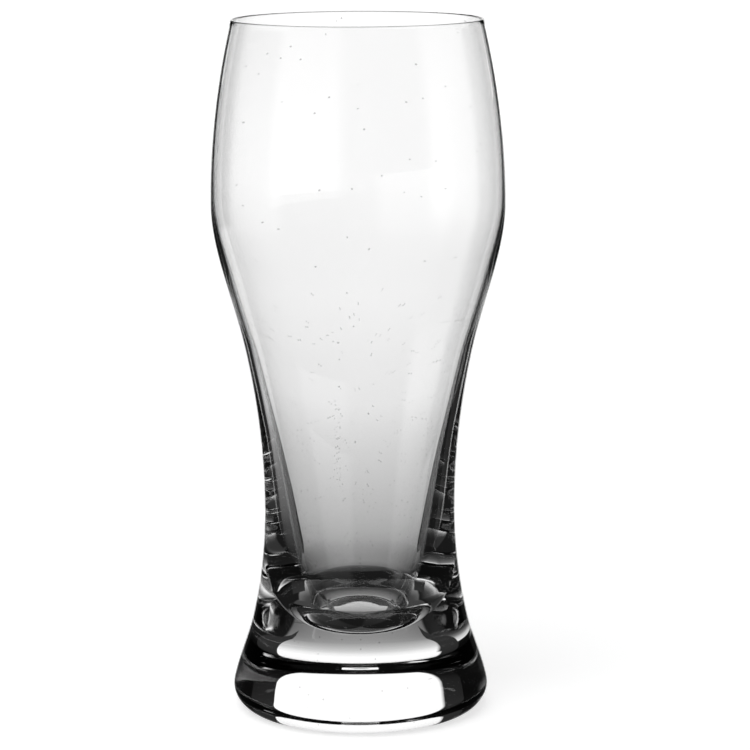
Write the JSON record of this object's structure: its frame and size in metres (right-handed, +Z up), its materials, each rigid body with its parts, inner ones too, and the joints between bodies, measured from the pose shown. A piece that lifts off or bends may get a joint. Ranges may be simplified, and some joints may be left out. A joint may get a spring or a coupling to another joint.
{
  "type": "beer glass",
  "caption": "Tall clear beer glass with a wide upper bowl, drawn-in mouth, narrow waist and a heavy flared solid foot.",
  "frame": {"origin": "centre of the flat underside of the foot, on the glass's axis", "axes": "+Z up along the axis of revolution, from the foot to the mouth; X and Y are level and alike"},
  "size_m": [0.0844, 0.0844, 0.2],
  "materials": {
    "clear_glass": "clear colourless soda-lime glass, fire polished, with a ground and polished flat under the foot"
  },
  "bodies": {
    "root": {"bowl": "clear_glass", "foot": "clear_glass"}
  },
  "joints": []
}
